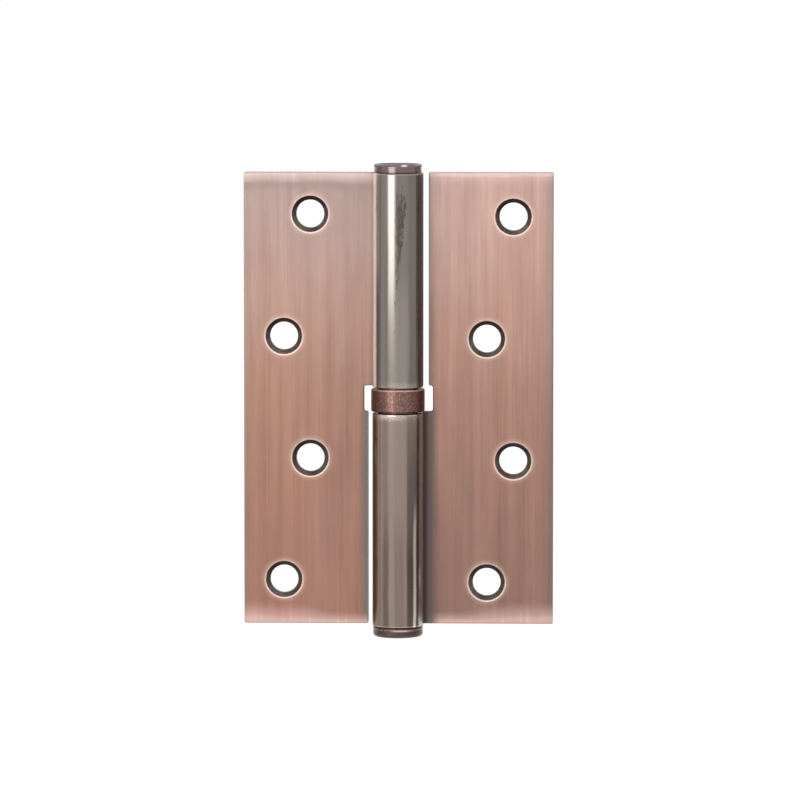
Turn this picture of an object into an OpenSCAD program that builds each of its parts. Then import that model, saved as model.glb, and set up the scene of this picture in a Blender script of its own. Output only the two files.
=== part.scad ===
// Lift-off butt hinge with a ball thrust ring, shown opened flat.
// The pin stands along +Z with the origin on its axis at half height. Both leaves lie behind the
// pin (+Y), their countersunk faces look to the front (-Y) and their flat backs are the mounting faces.
// The pin leaf reaches to +X and carries the lower knuckle, the socket leaf is the same pressing
// turned half a turn about Y and carries the upper knuckle.

/* [Leaves] */
// Height of a leaf
leaf_h = 120; // [110:1:140]
// Reach of a leaf from the pin's axis to its outer edge
leaf_w = 41; // [37:0.1:50]
// Thickness of the sheet that each leaf is pressed and rolled from
sheet_t = 2.75; // [2.2:0.05:3.2]
// Gap between a leaf's free inner edge and the other leaf's knuckle
free_gap = 1.24; // [0.9:0.02:2]
// Depth of the notch beside the thrust ring, from the free inner edge
notch_depth = 1.12; // [0.8:0.02:2]
// Corner radius of that notch
notch_r = 0.6; // [0.3:0.1:1]

/* [Screw holes] */
// Screw holes in each leaf, in two staggered rows
hole_count = 4; // [2:1:4]
// Height from one screw hole to the next
hole_pitch = 32.4; // [28:0.1:34]
// Shift of the screw holes from the leaf's half height towards its knuckle's end
hole_shift = 0.35; // [0:0.05:1]
// Distance of the inner row of holes from the pin's axis
row_near = 23.4; // [20:0.1:25]
// Distance of the outer row of holes from the pin's axis
row_far = 30.4; // [28:0.1:33]
// Diameter of a screw hole
hole_d = 7.4; // [5:0.1:8]
// Diameter of the countersink at the leaf's front face
csk_d = 9.7; // [9:0.1:11]
// Included angle of the countersink
csk_angle = 80; // [75:1:100]

/* [Knuckles and pin] */
// Diameter of the pin
pin_d = 7.9; // [6:0.1:9]
// Radial running clearance of the upper knuckle on the pin
run_clear = 0.05; // [0.02:0.01:0.1]
// Radial gap that stands for a pressed fit
press_clear = 0.01; // [0.01:0.01:0.02]
// Gap left between the rolled sheet's free end and the leaf
seam_gap = 0.25; // [0.1:0.05:0.5]
// Length of pin pressed into the lower knuckle
pin_in_lower = 46; // [35:1:47]
// Length of pin that reaches into the upper knuckle
pin_in_upper = 40.5; // [30:0.5:44]
// Length of the pin's tapered tip
pin_tip = 1.6; // [0.5:0.1:3]

/* [Thrust ring] */
// Height of the ring's outer shell
ring_h = 6; // [5.2:0.1:7]
// Gap between the shell and each knuckle
ring_gap = 0.45; // [0.3:0.05:0.8]
// How far the shell stands out past the knuckles
ring_over = 0.35; // [0.1:0.05:0.8]
// Thickness of the shell's wall and lips
shell_t = 0.5; // [0.4:0.05:0.6]
// Bevel on the shell's outer edges
ring_edge = 0.25; // [0.1:0.05:0.35]
// Width of the shell's lips, inwards from its wall
lip_w = 1; // [0.6:0.1:1.2]
// Diameter of a ball
ball_d = 1.6; // [1.4:0.1:1.8]
// Number of balls
ball_count = 12; // [8:1:12]
// Depth of the ball groove in each race
groove_depth = 0.2; // [0.1:0.05:0.3]
// Thickness of the ball cage
cage_h = 0.6; // [0.4:0.1:0.8]

/* [Caps] */
// Diameter of the top cap
top_cap_d = 12.7; // [11:0.1:14]
// Height of the top cap's head
top_cap_h = 2.4; // [2:0.1:4]
// Edge radius of the top cap's head
top_cap_r = 0.6; // [0.2:0.1:1.2]
// Diameter of the bottom cap
bottom_cap_d = 13.2; // [11:0.1:14]
// Height of the bottom cap's head
bottom_cap_h = 2.8; // [2:0.1:4]
// Edge radius of the bottom cap's head
bottom_cap_r = 0.9; // [0.2:0.1:1.4]
// Length of each cap's stem inside its knuckle
stem_l = 8; // [5:0.5:9]

/* [Hidden] */
$fn = 96;
// Overrun of a cutting tool past the face it cuts
over = 1;
pin_r = pin_d / 2;
bore_r = pin_r + run_clear;
barrel_r = bore_r + sheet_t;
half_h = leaf_h / 2;
stack_z = ring_h / 2 + ring_gap;
knuckle_l = half_h - stack_z;
roll_angle = 270 + asin((bore_r - seam_gap) / barrel_r);
free_x = barrel_r + free_gap;
notch_x = free_x + notch_depth;
csk_depth = (csk_d - hole_d) / 2 / tan(csk_angle / 2);

ring_r = barrel_r + ring_over;
shell_in_r = ring_r - shell_t;
lip_r = shell_in_r - lip_w;
lip_z = ring_h / 2 - shell_t;
ball_r = ball_d / 2;
// Clearance of each ball in its grooves and in its pocket
ball_clear = 0.02;
pocket_clear = 0.06;
// Radial gap of the cage to the pin and to the shell
cage_clear = 0.15;
// Gap of the turning race to the shell's wall and lip, and of both races to the pin
race_clear = 0.2;
race_bore_clear = 0.08;
// Gap of a race's hub to the lip around it
hub_clear = 0.3;
cage_in_r = pin_r + cage_clear;
cage_out_r = shell_in_r - cage_clear;
ball_track_r = (cage_in_r + cage_out_r) / 2;
race_z = ball_r - groove_depth;
// The groove is a little wider than the ball and touches it at its bottom only
groove_r = ball_r * 1.06;
groove_z = ball_r + ball_clear - groove_r;
stem_chamfer = 0.5;
pin_chamfer = 0.5;
pin_tip_r = pin_r - 0.55 * pin_tip;

function ball_name(i) = str("bearing_ball_", i);

// Flat outline of a leaf in its own plane, with the knuckle's sheet reaching in to the pin's axis.
module leaf_outline() {
    difference() {
        union() {
            translate([free_x, -half_h]) square([leaf_w - free_x, leaf_h]);
            translate([0, -half_h]) square([leaf_w, half_h]);
        }
        ring_notch();
    }
}

// Notch beside the thrust ring, with rounded outer corners.
module ring_notch() {
    translate([-over, -stack_z]) square([notch_x - notch_r + over, 2 * stack_z]);
    translate([-over, notch_r - stack_z]) square([notch_x + over, 2 * (stack_z - notch_r)]);
    for (side = [-1, 1])
        translate([notch_x - notch_r, side * (stack_z - notch_r)]) circle(notch_r);
}

// One countersunk hole along Y, open to the front face of the leaf.
module screw_hole() {
    slope = tan(csk_angle / 2);
    translate([0, bore_r - over, 0]) rotate([-90, 0, 0]) {
        cylinder(h = sheet_t + 2 * over, d = hole_d);
        cylinder(h = csk_depth + over, r1 = csk_d / 2 + over * slope, r2 = hole_d / 2);
    }
}

// The pressed and rolled leaf with its knuckle below. The roll leaves the sheet at the back, runs
// round the far side and the front, and ends just short of the leaf's front face.
module rolled_leaf() {
    difference() {
        union() {
            translate([0, barrel_r, 0]) rotate([90, 0, 0]) linear_extrude(sheet_t) leaf_outline();
            translate([0, 0, -half_h])
                rotate_extrude(angle = roll_angle, start = 90)
                    translate([bore_r, 0]) square([sheet_t, knuckle_l]);
        }
        for (i = [0 : hole_count - 1])
            translate([i % 2 == 0 ? row_far : row_near, 0,
                       ((hole_count - 1) / 2 - i) * hole_pitch - hole_shift])
                screw_hole();
    }
}

module pin_leaf() {
    color([0.66, 0.48, 0.42]) rolled_leaf();
}

module socket_leaf() {
    color([0.68, 0.52, 0.46]) rotate([0, 180, 0]) rolled_leaf();
}

// Pressed length below, running length above, with a tapered tip that finds the socket.
module hinge_pin() {
    top_z = stack_z + pin_in_upper;
    press_r = bore_r - press_clear;
    color([0.62, 0.6, 0.58]) rotate_extrude() polygon([
        [0, -stack_z - pin_in_lower],
        [press_r - pin_chamfer, -stack_z - pin_in_lower],
        [press_r, pin_chamfer - stack_z - pin_in_lower],
        [press_r, -stack_z],
        [pin_r, -stack_z],
        [pin_r, top_z - pin_tip],
        [pin_tip_r, top_z],
        [0, top_z]
    ]);
}

// A plug: a head that seats on the knuckle's end at z = 0, with a rounded edge, and a stem in its bore.
module cap(head_d, head_h, edge_r) {
    head_r = head_d / 2;
    stem_r = bore_r - press_clear;
    rotate_extrude() difference() {
        polygon([[0, head_h], [head_r, head_h], [head_r, 0], [stem_r, 0],
                 [stem_r, stem_chamfer - stem_l], [stem_r - stem_chamfer, -stem_l], [0, -stem_l]]);
        translate([head_r - edge_r, head_h - edge_r]) difference() {
            square(edge_r + over);
            circle(edge_r);
        }
    }
}

module top_cap() {
    color([0.36, 0.28, 0.27]) translate([0, 0, half_h]) cap(top_cap_d, top_cap_h, top_cap_r);
}

module bottom_cap() {
    color([0.33, 0.25, 0.24]) translate([0, 0, -half_h]) mirror([0, 0, 1])
        cap(bottom_cap_d, bottom_cap_h, bottom_cap_r);
}

// Channel-shaped shell whose lips hold the two races together.
module bearing_shell() {
    edge_z = ring_h / 2;
    color([0.42, 0.29, 0.26]) rotate_extrude() polygon([
        [lip_r, -edge_z], [ring_r - ring_edge, -edge_z],
        [ring_r, ring_edge - edge_z], [ring_r, edge_z - ring_edge],
        [ring_r - ring_edge, edge_z], [lip_r, edge_z],
        [lip_r, lip_z], [shell_in_r, lip_z], [shell_in_r, -lip_z], [lip_r, -lip_z]
    ]);
}

// A race with its ball groove below, a rim of radius disc_r up to disc_z and a hub up to the knuckle.
module race(disc_r, disc_z) {
    bore = pin_r + race_bore_clear;
    hub_r = lip_r - hub_clear;
    rotate_extrude() difference() {
        polygon([[bore, race_z], [disc_r, race_z], [disc_r, disc_z],
                 [hub_r, disc_z], [hub_r, stack_z], [bore, stack_z]]);
        translate([ball_track_r, groove_z]) circle(groove_r);
    }
}

module upper_race() {
    color([0.72, 0.71, 0.7]) race(shell_in_r - race_clear, lip_z - race_clear);
}

module lower_race() {
    color([0.7, 0.69, 0.68]) mirror([0, 0, 1]) race(shell_in_r - press_clear, lip_z);
}

module ball_cage() {
    color([0.78, 0.62, 0.32]) difference() {
        cylinder(h = cage_h, r = cage_out_r, center = true);
        cylinder(h = cage_h + 2 * over, r = cage_in_r, center = true);
        for (i = [1 : ball_count])
            rotate(i * 360 / ball_count) translate([ball_track_r, 0, 0])
                cylinder(h = cage_h + 2 * over, r = ball_r + pocket_clear, center = true);
    }
}

module bearing_ball(i) {
    color([0.82, 0.82, 0.84]) rotate(i * 360 / ball_count) translate([ball_track_r, 0, 0])
        sphere(ball_r);
}

pin_leaf();
socket_leaf();
hinge_pin();
top_cap();
bottom_cap();
bearing_shell();
lower_race();
upper_race();
ball_cage();
for (i = [1 : ball_count])
    bearing_ball(i);
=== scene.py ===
"""Lift-off butt hinge in antique copper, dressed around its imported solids.

Sizes are in millimetres until a mesh is written, which is in metres in the solids' own frame: the
pin stands along Z with the origin at half height, the leaves lie behind it towards +Y and their
countersunk faces look towards -Y.
"""

import enum
import logging
import math
from dataclasses import dataclass
from typing import Callable, Iterable, Mapping, Sequence, Union

import bpy
import numpy as np
from mathutils import Matrix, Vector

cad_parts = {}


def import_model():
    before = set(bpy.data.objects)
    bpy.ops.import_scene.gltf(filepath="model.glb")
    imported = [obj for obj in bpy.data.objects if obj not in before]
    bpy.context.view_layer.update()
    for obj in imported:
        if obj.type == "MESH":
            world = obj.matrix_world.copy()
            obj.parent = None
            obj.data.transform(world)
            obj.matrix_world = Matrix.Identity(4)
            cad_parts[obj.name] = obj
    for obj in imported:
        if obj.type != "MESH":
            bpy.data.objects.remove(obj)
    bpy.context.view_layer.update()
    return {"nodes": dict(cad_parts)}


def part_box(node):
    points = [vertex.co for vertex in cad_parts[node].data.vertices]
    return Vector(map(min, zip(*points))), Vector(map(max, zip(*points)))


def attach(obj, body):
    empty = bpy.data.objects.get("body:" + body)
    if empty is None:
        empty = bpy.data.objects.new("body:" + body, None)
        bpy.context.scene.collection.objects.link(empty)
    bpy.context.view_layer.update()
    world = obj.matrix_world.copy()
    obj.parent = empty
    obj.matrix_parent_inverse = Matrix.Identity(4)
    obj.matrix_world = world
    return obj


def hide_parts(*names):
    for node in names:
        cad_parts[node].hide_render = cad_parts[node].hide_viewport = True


LOG = logging.getLogger("hinge")
MM = 0.001

Colour = tuple[float, float, float]
Socket = bpy.types.NodeSocket


def srgb(red: float, green: float, blue: float) -> Colour:
    """Linear colour of a display colour.

    Args:
        red: its red channel, from 0 to 255.
        green: its green channel.
        blue: its blue channel.

    Returns:
        The channels as shares of light.
    """
    shares = np.array([red, green, blue]) / 255.0
    linear = np.where(shares <= 0.04045, shares / 12.92, ((shares + 0.055) / 1.055) ** 2.4)
    return tuple(float(c) for c in linear)


# Surfaces


@dataclass
class Surface:
    """Points and quads of a surface, with the sheet coordinates of each point.

    Attributes:
        points: (n, 3) places in millimetres.
        quads: (m, 4) indices of points, wound so that the faces look outwards.
        sheet: (n, 3) coordinates along and across the sheet and through it, in millimetres.
    """

    points: np.ndarray
    quads: np.ndarray
    sheet: np.ndarray

    @classmethod
    def grid(cls, points: np.ndarray, sheet: np.ndarray, wrap: bool = False) -> "Surface":
        """Joins a grid of points into quads.

        Quad (i, j) has the corners (i, j), (i, j+1), (i+1, j+1) and (i+1, j), with j+1 taken
        modulo the number of columns where the grid wraps.

        Args:
            points: (rows, columns, 3) places.
            sheet: (rows, columns, 3) sheet coordinates.
            wrap: whether the last column joins the first.

        Returns:
            The surface.
        """
        rows, columns = points.shape[:2]
        ids = np.arange(rows * columns).reshape(rows, columns)
        if wrap:
            ids = np.concatenate([ids, ids[:, :1]], axis=1)
        quads = np.stack([ids[:-1, :-1], ids[:-1, 1:], ids[1:, 1:], ids[1:, :-1]], axis=-1)
        return cls(points.reshape(-1, 3), quads.reshape(-1, 4), sheet.reshape(-1, 3))

    @classmethod
    def joined(cls, parts: Iterable["Surface"]) -> "Surface":
        """Makes one surface of several, each keeping its own points.

        Args:
            parts: the surfaces.

        Returns:
            The whole.
        """
        parts = list(parts)
        starts = np.cumsum([0] + [len(p.points) for p in parts[:-1]])
        return cls(
            np.concatenate([p.points for p in parts]),
            np.concatenate([p.quads + start for p, start in zip(parts, starts)]),
            np.concatenate([p.sheet for p in parts]),
        )

    def turned_over(self) -> "Surface":
        """The same surface looking the other way."""
        return Surface(self.points, self.quads[:, ::-1], self.sheet)

    def moved(self, place: Callable[[np.ndarray], np.ndarray]) -> "Surface":
        """The surface with a function of all its points applied to them."""
        return Surface(place(self.points), self.quads, self.sheet)

    def to_object(self, name: str, tolerance: float = 1e-4) -> bpy.types.Object:
        """Welds the points that meet and writes the surface as a smooth mesh object in metres.

        Points whose places agree when rounded to the tolerance become one. A quad that loses one
        corner by this becomes a triangle, and one that loses more is dropped.

        Args:
            name: the object's name.
            tolerance: the weld's rounding in millimetres.

        Returns:
            The object, linked to the scene.
        """
        keys = np.round(self.points / tolerance).astype(np.int64)
        _, first, inverse = np.unique(keys, axis=0, return_index=True, return_inverse=True)
        quads = inverse.reshape(-1)[self.quads]
        kept = quads != np.roll(quads, -1, axis=1)
        corners = kept.sum(axis=1)
        whole = quads[corners == 4]
        triangles = quads[corners == 3][kept[corners == 3]].reshape(-1, 3)
        loops = np.concatenate([whole.reshape(-1), triangles.reshape(-1)])
        starts = np.concatenate(
            [4 * np.arange(len(whole)), 4 * len(whole) + 3 * np.arange(len(triangles))]
        )
        mesh = bpy.data.meshes.new(name)
        mesh.vertices.add(len(first))
        mesh.vertices.foreach_set("co", (self.points[first] * MM).astype(np.float32).reshape(-1))
        mesh.loops.add(len(loops))
        mesh.loops.foreach_set("vertex_index", loops.astype(np.int32))
        mesh.polygons.add(len(starts))
        mesh.polygons.foreach_set("loop_start", starts.astype(np.int32))
        mesh.update(calc_edges=True)
        mesh.validate()
        layer = mesh.attributes.new("sheet", "FLOAT_VECTOR", "POINT")
        layer.data.foreach_set("vector", self.sheet[first].astype(np.float32).reshape(-1))
        mesh.shade_smooth()
        made = bpy.data.objects.new(name, mesh)
        bpy.context.scene.collection.objects.link(made)
        return made


def unit(vectors: np.ndarray) -> np.ndarray:
    """Vectors divided by their lengths."""
    return vectors / np.linalg.norm(vectors, axis=-1, keepdims=True)


def rounded(corners: Sequence[tuple[float, float, float]], steps: int = 5,
            closed: bool = False) -> np.ndarray:
    """Rounds the corners of a profile.

    A corner P between the unit vectors a and b towards its neighbours, with 2h between them, gets
    an arc about C = P + (a + b) / |a + b| * r / sin(h), from P + a * r / tan(h) to
    P + b * r / tan(h). A further point a fifth of the radius beyond each end of the arc keeps the
    shading of the flats even.

    Args:
        corners: (radius, height, edge radius) of each corner, in millimetres.
        steps: segments of each arc.
        closed: whether the last corner joins the first. If not, the two ends stay as they are.

    Returns:
        (n, 2) points of the profile.
    """
    table = np.array(corners, float)
    around = np.concatenate([table[-1:], table, table[:1]]) if closed else table
    spots, radii = around[1:-1, :2], around[1:-1, 2:3]
    before, after = unit(around[:-2, :2] - spots), unit(around[2:, :2] - spots)
    half = np.arccos(np.clip((before * after).sum(axis=1, keepdims=True), -1, 1)) / 2
    centres = spots + unit(before + after) * radii / np.sin(half)
    reach = radii / np.tan(half)
    start, stop = spots + before * reach, spots + after * reach
    share = np.linspace(0, 1, steps + 1)[None, :, None]
    span = (math.pi - 2 * half)[:, None, :]
    ray_a, ray_b = (start - centres)[:, None, :], (stop - centres)[:, None, :]
    arcs = centres[:, None, :] + (
        np.sin((1 - share) * span) * ray_a + np.sin(share * span) * ray_b
    ) / np.sin(span)
    lead, trail = start + before * radii / 5, stop + after * radii / 5
    path = np.concatenate([lead[:, None], arcs, trail[:, None]], axis=1)
    ends = (path[:0, 0], path[:1, 0]) if closed else (table[:1, :2], table[-1:, :2])
    return np.concatenate([ends[0], path.reshape(-1, 2), ends[1]])


def revolved(profile: np.ndarray, segments: int = 128) -> Surface:
    """Carries a profile round the Z axis.

    The point (r, z) of the profile goes to (r cos a, r sin a, z). A profile that climbs on its
    outer side has faces that look outwards.

    Args:
        profile: (n, 2) radii and heights, in millimetres.
        segments: steps of a full turn.

    Returns:
        The surface, with the angle times the radius, the height and the radius as its sheet
        coordinates.
    """
    angle = np.arange(segments) * 2 * math.pi / segments
    radius, height = profile[:, :1], profile[:, 1:]
    level = height + 0 * angle
    points = np.stack([radius * np.cos(angle), radius * np.sin(angle), level], axis=-1)
    sheet = np.stack([radius * angle, level, radius + 0 * angle], axis=-1)
    return Surface.grid(points, sheet, wrap=True)


# Shader trees


class Value:
    """A number socket in an expression, whose arithmetic adds Math nodes to its tree."""

    def __init__(self, tree: "Tree", socket: Socket) -> None:
        """Wraps a socket of a tree."""
        self.tree, self.socket = tree, socket

    def math(self, operation: str, *others: "Number") -> "Value":
        """The result of a Math node with this value first."""
        return self.tree.math(operation, self, *others)

    def __add__(self, other: "Number") -> "Value":
        """Sum."""
        return self.math("ADD", other)

    __radd__ = __add__

    def __sub__(self, other: "Number") -> "Value":
        """Difference."""
        return self.math("SUBTRACT", other)

    def __rsub__(self, other: float) -> "Value":
        """A number less this value."""
        return self.tree.math("SUBTRACT", other, self)

    def __mul__(self, other: "Number") -> "Value":
        """Product."""
        return self.math("MULTIPLY", other)

    __rmul__ = __mul__

    def __truediv__(self, other: "Number") -> "Value":
        """Quotient."""
        return self.math("DIVIDE", other)

    def __abs__(self) -> "Value":
        """Size without its sign."""
        return self.math("ABSOLUTE")

    def least(self, other: "Number") -> "Value":
        """The smaller of this and another."""
        return self.math("MINIMUM", other)

    def most(self, other: "Number") -> "Value":
        """The larger of this and another."""
        return self.math("MAXIMUM", other)

    def rise(self, low: float, high: float) -> "Value":
        """A smooth step, s * s * (3 - 2 * s) for the share s of the way.

        Args:
            low: where the result is 0.
            high: where it is 1, on either side of low.

        Returns:
            The result.
        """
        if high < low:
            return 1.0 - self.rise(high, low)
        made = self.tree.node(
            "ShaderNodeMapRange", {"interpolation_type": "SMOOTHSTEP"}, {0: self, 1: low, 2: high}
        )
        return Value(self.tree, made.outputs[0])


Number = Union[Value, float]
Input = Union[Value, Socket, float, Sequence[float]]


class Tree:
    """A node tree to which nodes are added by one method."""

    def __init__(self, owner: bpy.types.ID) -> None:
        """Empties the node tree of a material or world."""
        owner.use_nodes = True
        self.tree = owner.node_tree
        self.tree.nodes.clear()

    def node(self, kind: str, settings: Mapping[str, object] | None = None,
             inputs: Mapping[int | str, Input] | None = None) -> bpy.types.Node:
        """Adds a node.

        Args:
            kind: the node's type name.
            settings: its own properties, which are set first.
            inputs: values or links of its sockets, by name or number.

        Returns:
            The node.
        """
        made = self.tree.nodes.new(kind)
        for key, setting in (settings or {}).items():
            setattr(made, key, setting)
        for key, given in (inputs or {}).items():
            given = given.socket if isinstance(given, Value) else given
            if isinstance(given, bpy.types.NodeSocket):
                self.tree.links.new(given, made.inputs[key])
            else:
                made.inputs[key].default_value = given
        return made

    def math(self, operation: str, *values: Number) -> Value:
        """A Math node on numbers and values."""
        made = self.node("ShaderNodeMath", {"operation": operation}, dict(enumerate(values)))
        return Value(self, made.outputs[0])

    def place(self) -> tuple[Socket, Value, Value, Value]:
        """Object coordinates in millimetres: the vector, then X, Y and Z."""
        source = self.node("ShaderNodeTexCoord").outputs["Object"]
        vector = self.scaled(source, 1 / MM)
        return vector, *self.parts(vector)

    def sheet(self) -> tuple[Socket, Value, Value, Value]:
        """Sheet coordinates in millimetres: the vector, then along, across and through."""
        vector = self.node("ShaderNodeAttribute", {"attribute_name": "sheet"}).outputs["Vector"]
        return vector, *self.parts(vector)

    def parts(self, vector: Socket) -> list[Value]:
        """The three numbers of a vector."""
        made = self.node("ShaderNodeSeparateXYZ", inputs={0: vector})
        return [Value(self, output) for output in made.outputs]

    def vector(self, x: Number, y: Number, z: Number = 0.0) -> Socket:
        """A vector of three numbers."""
        return self.node("ShaderNodeCombineXYZ", inputs={0: x, 1: y, 2: z}).outputs[0]

    def scaled(self, vector: Input, factor: Number) -> Socket:
        """A vector or colour times a number."""
        return self.node("ShaderNodeVectorMath", {"operation": "SCALE"},
                         {0: vector, "Scale": factor}).outputs[0]

    def noise(self, vector: Socket, scale: float = 1.0, detail: float = 2.0,
              roughness: float = 0.5) -> Value:
        """Fractal noise from 0 to 1."""
        made = self.node("ShaderNodeTexNoise", inputs={
            "Vector": vector, "Scale": scale, "Detail": detail, "Roughness": roughness})
        return Value(self, made.outputs[0])

    def mix(self, factor: Number, first: Input, second: Input, blend: str = "MIX") -> Socket:
        """A colour between two.

        Args:
            factor: share of the second.
            first: the first colour.
            second: the second colour.
            blend: how the second is laid over the first.

        Returns:
            The colour.
        """
        first, second = (
            (*given, 1.0) if isinstance(given, tuple) else given for given in (first, second))
        made = self.node("ShaderNodeMix", {"data_type": "RGBA", "blend_type": blend},
                         {0: factor, 6: first, 7: second})
        return made.outputs[2]

    def ramp(self, value: Number, stops: Sequence[tuple[float, Colour]]) -> Socket:
        """A colour that runs smoothly through stops.

        Args:
            value: place on the way from 0 to 1.
            stops: places and colours.

        Returns:
            The colour.
        """
        made = self.node("ShaderNodeValToRGB", inputs={0: value})
        ramp = made.color_ramp
        ramp.interpolation = "B_SPLINE"
        for _ in stops[2:]:
            ramp.elements.new(0.5)
        for element, (spot, colour) in zip(ramp.elements, stops):
            element.position, element.color = spot, (*colour, 1.0)
        return made.outputs[0]

    def bump(self, height: Number, distance: float) -> Socket:
        """A normal tilted by a height from 0 to 1 that stands for a distance in millimetres."""
        return self.node("ShaderNodeBump", inputs={
            "Strength": 1.0, "Distance": distance * MM, "Height": height}).outputs[0]


@dataclass(frozen=True)
class Metal:
    """Constants of a metal surface, set on the shader's own sockets.

    Attributes:
        anisotropic: how much the brushing stretches highlights.
        coat_roughness: how matt the clear layer is.
    """

    anisotropic: float = 0.0
    coat_roughness: float = 0.2

    def dress(self, tree: Tree, colour: Input, roughness: Input, normal: Socket | None = None,
              coat: Input = 0.0) -> None:
        """Ends a material's tree in a metallic surface.

        Args:
            tree: the material's tree.
            colour: the metal's colour.
            roughness: how matt it is.
            normal: a bumped normal, if any.
            coat: weight of the clear layer over it.
        """
        inputs = {"Base Color": (*colour, 1.0) if isinstance(colour, tuple) else colour,
                  "Metallic": 1.0, "Roughness": roughness, "Anisotropic": self.anisotropic,
                  "Coat Weight": coat, "Coat Roughness": self.coat_roughness}
        if normal is not None:
            inputs["Normal"] = normal
        surface = tree.node("ShaderNodeBsdfPrincipled", inputs=inputs)
        tree.node("ShaderNodeOutputMaterial", inputs={"Surface": surface.outputs[0]})


# Finishes


@dataclass(frozen=True)
class OnLeaf:
    """The coordinates in a leaf's material, by which its marks are placed.

    Attributes:
        tree: the material's tree.
        blank: the leaf's sizes.
        along: place along the sheet away from the pin, negative inside the roll.
        across: place along the pin, with the knuckle below 0.
        through: depth from the front face.
        z: height in the hinge.
        fine: noise of the brush marks.
    """

    tree: Tree
    blank: "Blank"
    along: Value
    across: Value
    through: Value
    z: Value
    fine: Value

    def noise(self, along: float, across: float, depth: Number = 0.0, detail: float = 2.0,
              roughness: float = 0.5) -> Value:
        """Fractal noise with so many grains to a millimetre along and across the sheet."""
        vector = self.tree.vector(self.along * along, self.across * across, depth)
        return self.tree.noise(vector, detail=detail, roughness=roughness)

    def hole_distance(self) -> Value:
        """Measures from the nearest screw hole's axis.

        Returns:
            The distance in millimetres.
        """
        nearest: Value | None = None
        for hole_along, hole_across in self.blank.holes:
            apart = self.tree.vector(self.along - hole_along, self.across - hole_across)
            length = self.tree.node("ShaderNodeVectorMath", {"operation": "LENGTH"}, {0: apart})
            distance = Value(self.tree, length.outputs["Value"])
            nearest = distance if nearest is None else nearest.least(distance)
        return nearest


@dataclass(frozen=True)
class PaintedBand:
    """A lengthwise band of painted light round a knuckle: a reflection, a highlight or a shade.

    Attributes:
        along: its place along the sheet in millimetres.
        half: half its width.
        tone: its colour.
        share: how much of its colour shows.
        span: places along the pin between which it fades in, if it isn't whole.
        soft: half the width over which each of its edges fades.
        matt: how much rougher it is.
    """

    along: float
    half: float
    tone: Colour
    share: float
    span: tuple[float, float] | None = None
    soft: float = 0.25
    matt: float = 0.0

    def mask(self, at: OnLeaf, wander: Value) -> Value:
        """Its share over the sheet, which fades at its edges."""
        made = abs(at.along + wander - self.along).rise(
            self.half + self.soft, self.half - self.soft) * self.share
        return made * at.across.rise(*self.span) if self.span else made


@dataclass(frozen=True)
class MarkTones:
    """Colours of the marks that both leaves have.

    Attributes:
        warm: what patches of the copper are multiplied by.
        rim: the painted highlight ring about a countersink, brighter on its lower side.
        sink: oxide in a countersink, with painted shade in its upper part and painted light in
        its lower part.
        corner: the painted highlight line on the free edge.
        streak: the dull streak under the upper bright band.
        band: the bright bands at the foot and at the head, partly rubbed bright and partly
        painted reflection of the rounded ends.
        end: the line on the ends' edges.
        crease_shadow: the painted shadow line where the leaf meets its knuckle.
        specks: the dark specks on the knuckle's front.
        bare_metal_and_sheen: bare metal and painted highlight at the knuckle's ends.
        cut: the sheet's cut edge at the thrust ring.
    """

    warm: Colour = (1.0, 0.95, 0.9)
    rim: Colour = srgb(234, 210, 199)
    sink: tuple[Colour, Colour] = (srgb(54, 36, 30), srgb(150, 138, 128))
    corner: Colour = srgb(216, 206, 200)
    streak: Colour = srgb(136, 118, 113)
    band: tuple[Colour, Colour] = (srgb(228, 190, 180), srgb(225, 200, 194))
    end: Colour = srgb(144, 124, 116)
    crease_shadow: Colour = srgb(56, 46, 42)
    specks: Colour = srgb(58, 53, 52)
    bare_metal_and_sheen: Colour = srgb(226, 208, 196)
    cut: Colour = srgb(52, 42, 38)


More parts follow.
